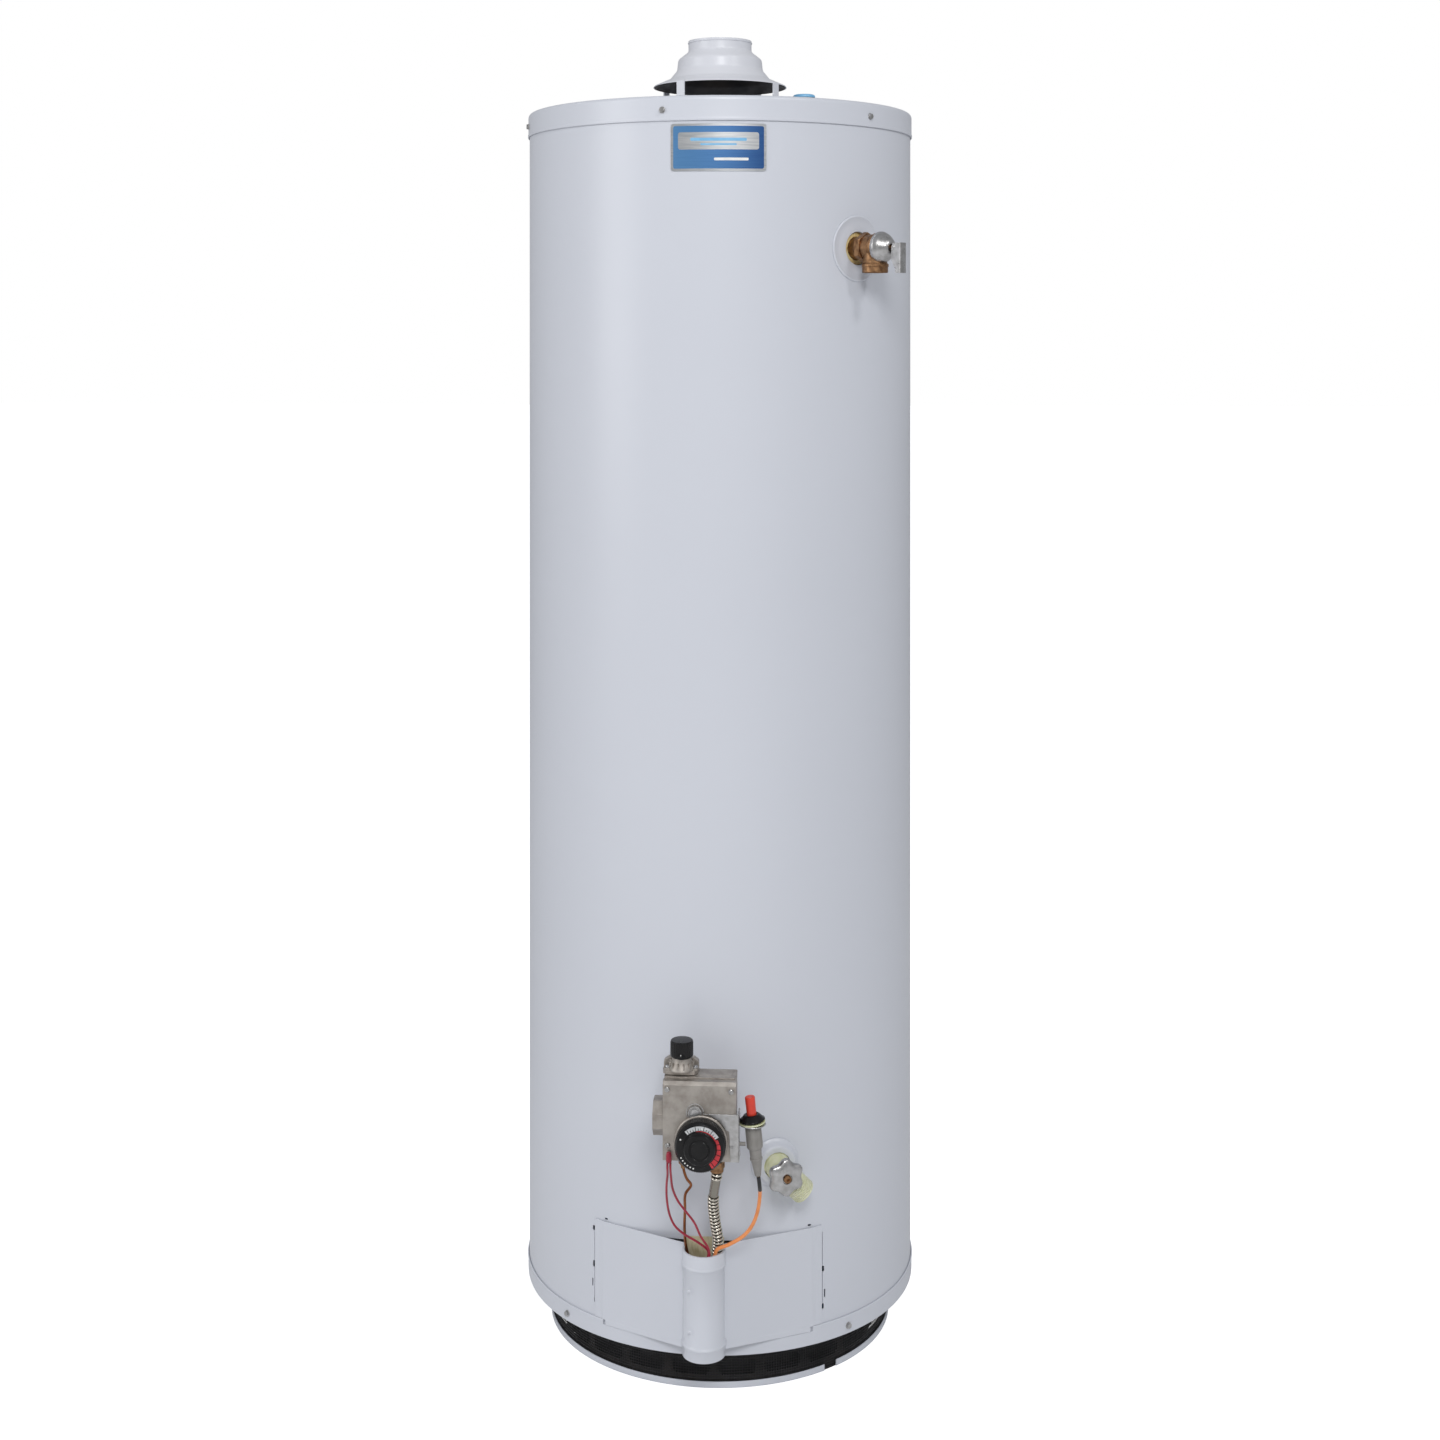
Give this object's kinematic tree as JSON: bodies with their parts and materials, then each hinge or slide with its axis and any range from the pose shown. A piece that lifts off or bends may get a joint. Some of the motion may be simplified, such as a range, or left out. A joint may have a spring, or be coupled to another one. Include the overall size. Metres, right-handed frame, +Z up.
{
  "type": "tank water heater",
  "caption": "Tall gas storage water heater with insulated jacket, central flue and draft hood, gas control, igniter, relief and drain valves and a removable burner door.",
  "frame": {"origin": "on the floor under the tank's vertical axis", "axes": "+Z up along the tank; -Y is the front with the gas control; +X is the side of the cold inlet"},
  "size_m": [0.462, 0.57, 1.522],
  "materials": {
    "jacket_enamel": "semi-gloss baked enamel",
    "hood_enamel": "semi-gloss baked enamel",
    "dark_steel": "dark coated sheet steel",
    "black_mesh": "matt black woven mesh",
    "bare_steel": "bare galvanised steel",
    "tank_enamel": "glass-lined steel",
    "foam": "rigid foam",
    "cast_aluminium": "die-cast, satin",
    "black_plastic": "moulded, satin",
    "brass": "machined",
    "zinc": "zinc-plated pressing",
    "pale_plastic": "translucent moulded",
    "cold_blue": "moulded",
    "hot_red": "moulded",
    "button_red": "moulded",
    "grey_plastic": "moulded",
    "name_plate": "printed foil, satin",
    "nickel": "corrugated, bright",
    "copper": "oxidised copper",
    "wire_red": "soft insulation",
    "lead_orange": "silicone insulation",
    "fibre_board": "pressed fibre",
    "sight_glass": "clear"
  },
  "bodies": {
    "root": {"base_ring": "dark_steel", "intake_screen": "black_mesh", "screen_trim": "bare_steel", "bottom_pan": "jacket_enamel", "flame_arrestor": "bare_steel", "jacket": "jacket_enamel", "insulation": "foam", "inner_tank": "tank_enamel", "flue_tube": "bare_steel", "flue_baffle": "bare_steel", "anode_rod": "bare_steel", "dip_tube": "pale_plastic", "cold_nipple": "bare_steel", "cold_liner": "cold_blue", "hot_nipple": "bare_steel", "hot_liner": "hot_red", "top_lid": "jacket_enamel", "draft_hood": "hood_enamel", "lid_screw_1": "zinc", "lid_screw_2": "zinc", "lid_screw_3": "zinc", "lid_screw_4": "zinc", "pan_screw_1": "jacket_enamel", "pan_screw_2": "jacket_enamel", "pan_screw_3": "jacket_enamel", "pan_screw_4": "jacket_enamel", "name_plate": "name_plate", "relief_escutcheon": "jacket_enamel", "drain_escutcheon": "jacket_enamel", "relief_valve_body": "brass", "relief_bonnet": "zinc", "drain_valve_body": "pale_plastic", "gas_valve_body": "cast_aluminium", "gas_cock_turret": "cast_aluminium", "thermostat_probe": "bare_steel", "igniter_bracket": "zinc", "igniter_body": "grey_plastic", "igniter_collar": "black_plastic", "flex_gas_tube": "nickel", "thermocouple_lead": "copper", "switch_boot": "wire_red", "switch_wire_1": "wire_red", "switch_wire_2": "wire_red", "igniter_lead": "lead_orange", "burner": "bare_steel", "burner_manifold": "bare_steel", "pilot_burner": "bare_steel", "inner_door": "bare_steel", "sight_glass": "sight_glass", "line_back_plate": "fibre_board"},
    "temperature_dial": {"temperature_dial": "black_plastic"},
    "gas_cock_plug": {"gas_cock_plug": "brass"},
    "gas_cock_knob": {"gas_cock_knob": "black_plastic"},
    "igniter_button": {"igniter_button": "button_red"},
    "relief_stem": {"relief_stem": "brass"},
    "relief_lever": {"relief_lever": "zinc"},
    "drain_stem": {"drain_stem": "brass"},
    "drain_handwheel": {"drain_handwheel": "zinc"},
    "outer_door": {"outer_door": "jacket_enamel"}
  },
  "joints": [
    {"name": "dial_turn", "type": "hinge", "parent": "root", "child": "temperature_dial", "pos_m": [0.002, -0.33, 0.3185], "axis": [0, -1, 0], "range_deg": [0, 250]},
    {"name": "gas_cock_turn", "type": "hinge", "parent": "root", "child": "gas_cock_plug", "pos_m": [-0.0205, -0.29, 0.4], "axis": [0, 0, 1], "range_deg": [0, 180]},
    {"name": "gas_cock_press", "type": "slide", "parent": "gas_cock_plug", "child": "gas_cock_knob", "axis": [0, 0, -1], "range_m": [0, 0.003], "stiffness_N_per_m": 1500, "springref_m": -0.002},
    {"name": "igniter_press", "type": "slide", "parent": "root", "child": "igniter_button", "axis": [0.1045, 0, -0.9945], "range_m": [0, 0.008], "stiffness_N_per_m": 800, "springref_m": -0.003},
    {"name": "relief_stem_slide", "type": "slide", "parent": "root", "child": "relief_stem", "axis": [0.7254, -0.6884, 0], "range_m": [0, 0.0029], "stiffness_N_per_m": 4000, "springref_m": -0.002},
    {"name": "relief_lever_lift", "type": "hinge", "parent": "relief_stem", "child": "relief_lever", "pos_m": [0.20891, -0.19825, 1.265], "axis": [-0.6884, -0.7254, 0], "range_deg": [0, 80]},
    {"name": "drain_stem_travel", "type": "slide", "parent": "root", "child": "drain_stem", "axis": [0.3305, -0.9438, 0], "range_m": [0, 0.0044]},
    {"name": "drain_wheel_turn", "type": "hinge", "parent": "drain_stem", "child": "drain_handwheel", "pos_m": [0.09155, -0.26143, 0.2585], "axis": [0.3305, -0.9438, 0], "range_deg": [0, 540]},
    {"name": "outer_door_pull", "type": "slide", "parent": "root", "child": "outer_door", "axis": [0, -1, 0], "range_m": [0, 0.12]}
  ],
  "couplings": [
    {"joint": "relief_lever_lift", "follows": "relief_stem_slide", "rad_per_m": 481.47},
    {"joint": "drain_wheel_turn", "follows": "drain_stem_travel", "rad_per_m": 2142}
  ]
}
